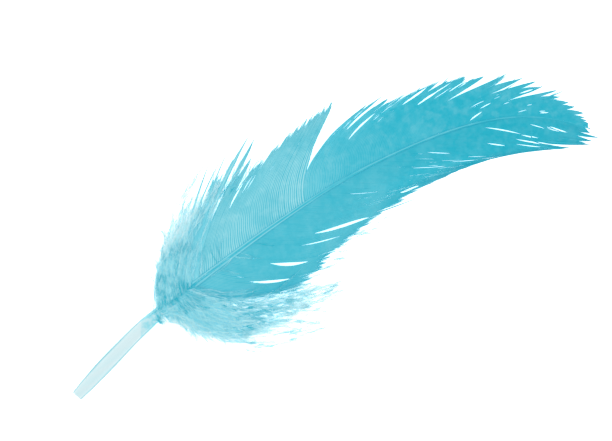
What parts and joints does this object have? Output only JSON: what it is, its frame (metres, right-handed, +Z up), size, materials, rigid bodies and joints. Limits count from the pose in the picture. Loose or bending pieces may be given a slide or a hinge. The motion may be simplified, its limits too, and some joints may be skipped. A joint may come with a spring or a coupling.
{
  "type": "turkey wing feather",
  "caption": "Dyed turquoise turkey wing feather with a pale quill, split vanes and a downy base, lying on its vane edges.",
  "frame": {"origin": "centre of the feather's box in plan, on the surface that it lies on", "axes": "+X along the feather's chord, from the quill's end to the tip; +Y towards the feather's left vane; +Z up, away from the surface"},
  "size_m": [0.1514, 0.0564, 0.0067],
  "materials": {
    "quill": "smooth translucent keratin, pale cyan at the quill and turquoise along the rachis",
    "vane": "dyed barbs with a soft silky sheen, more saturated towards the tip",
    "down": "loose, pale, matt down"
  },
  "bodies": {
    "root": {"shaft": "quill", "left_vane_base": "vane", "left_vane_tip": "vane", "right_vane": "vane", "left_down": "down", "right_down": "down"}
  },
  "joints": []
}
